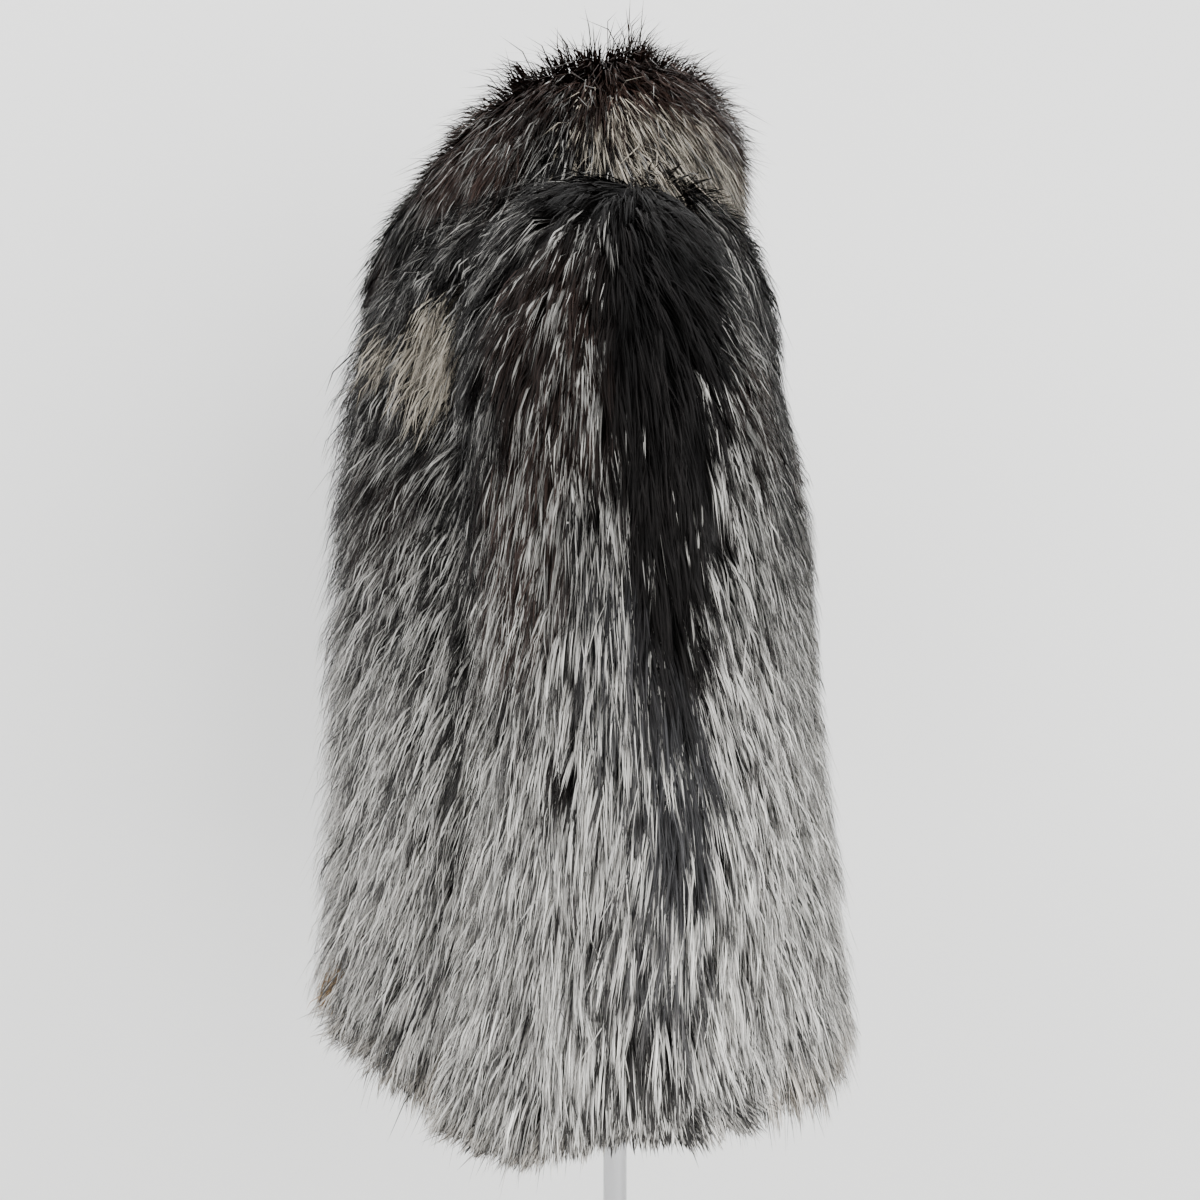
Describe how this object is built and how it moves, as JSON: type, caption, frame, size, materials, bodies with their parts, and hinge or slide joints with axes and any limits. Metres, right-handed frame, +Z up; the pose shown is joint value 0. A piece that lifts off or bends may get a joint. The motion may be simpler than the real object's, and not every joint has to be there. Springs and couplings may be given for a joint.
{
  "type": "fur jacket on dress form stand",
  "caption": "Hip-length silver-fox fur jacket with long sleeves and a large rolled collar, worn by a limbless dress form on a chrome pole with a round base.",
  "frame": {"origin": "centre of the round base's underside, on the pole's axis, at floor level", "axes": "+Z up along the pole, -Y the way the wearer faces, +X the wearer's left"},
  "size_m": [0.682, 0.459, 1.4863],
  "materials": {
    "silver_fox_fur": "long-haired fur, dark roots, white bands, dark tips",
    "dark_fox_fur": "long-haired dark fur with brown ridge and cream streaks",
    "form_cover": "plain woven cover, matt",
    "turned_cap": "satin varnish",
    "chrome": "polished",
    "base_metal": "satin plate"
  },
  "bodies": {
    "root": {"back": "silver_fox_fur", "front_left": "silver_fox_fur", "front_right": "silver_fox_fur", "sleeve_left": "silver_fox_fur", "sleeve_right": "silver_fox_fur", "collar": "dark_fox_fur", "form_torso": "form_cover", "form_neck_cap": "turned_cap", "form_socket": "chrome", "pole": "chrome", "base_socket": "chrome", "base": "base_metal"}
  },
  "joints": []
}
